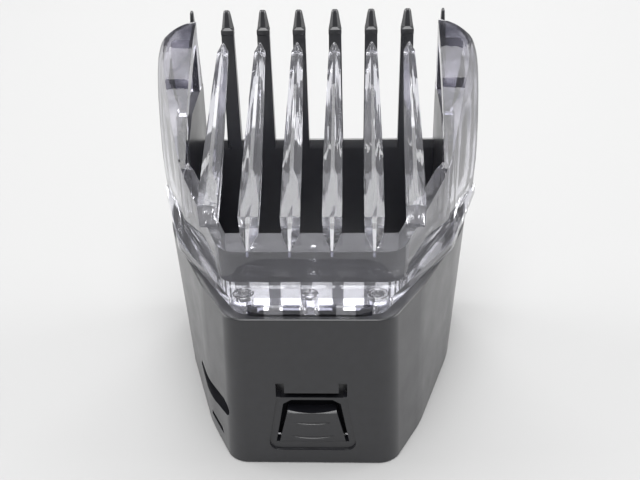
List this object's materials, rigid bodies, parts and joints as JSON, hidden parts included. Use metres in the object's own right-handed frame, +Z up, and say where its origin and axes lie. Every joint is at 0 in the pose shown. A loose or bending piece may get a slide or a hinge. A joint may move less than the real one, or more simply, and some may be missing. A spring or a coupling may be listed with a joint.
{
  "type": "body groomer guide comb",
  "caption": "Clip-on guide comb of a body groomer: tapered black sleeve with a press tab, black rear comb fins and a clear toothed hood seated in its rim.",
  "frame": {"origin": "middle of the footprint, on the bottom rim that the comb stands on", "axes": "+Z up along the fins, -Y towards the press tab at the front, +X to the right seen from the front"},
  "size_m": [0.0464, 0.0396, 0.0473],
  "materials": {
    "black_satin": "satin moulded black",
    "comb_black": "semi-gloss moulded black",
    "inner_black": "matt moulded black",
    "clear_plastic": "clear polished polycarbonate"
  },
  "bodies": {
    "comb": {"front_shell": "black_satin", "rear_shell": "black_satin", "clear_hood": "clear_plastic", "hood_prongs": "clear_plastic", "hood_centre_pin": "clear_plastic", "guide_rails": "inner_black", "seam_clips": "inner_black", "side_fin_left": "comb_black", "side_fin_right": "comb_black", "side_tooth_left": "clear_plastic", "side_tooth_right": "clear_plastic", "rear_fin_1": "comb_black", "rear_fin_2": "comb_black", "rear_fin_3": "comb_black", "rear_fin_4": "comb_black", "rear_fin_5": "comb_black", "rear_fin_6": "comb_black", "clear_tooth_1": "clear_plastic", "clear_tooth_2": "clear_plastic", "clear_tooth_3": "clear_plastic", "clear_tooth_4": "clear_plastic", "clear_tooth_5": "clear_plastic", "clear_tooth_6": "clear_plastic"},
    "tab": {"release_tab": "black_satin"}
  },
  "joints": [
    {"name": "tab_press", "type": "hinge", "parent": "comb", "child": "tab", "pos_m": [0, -0.0188, 0.0032], "axis": [-1, 0, 0], "range_deg": [0, 9], "stiffness_Nm_per_rad": 0.05}
  ]
}
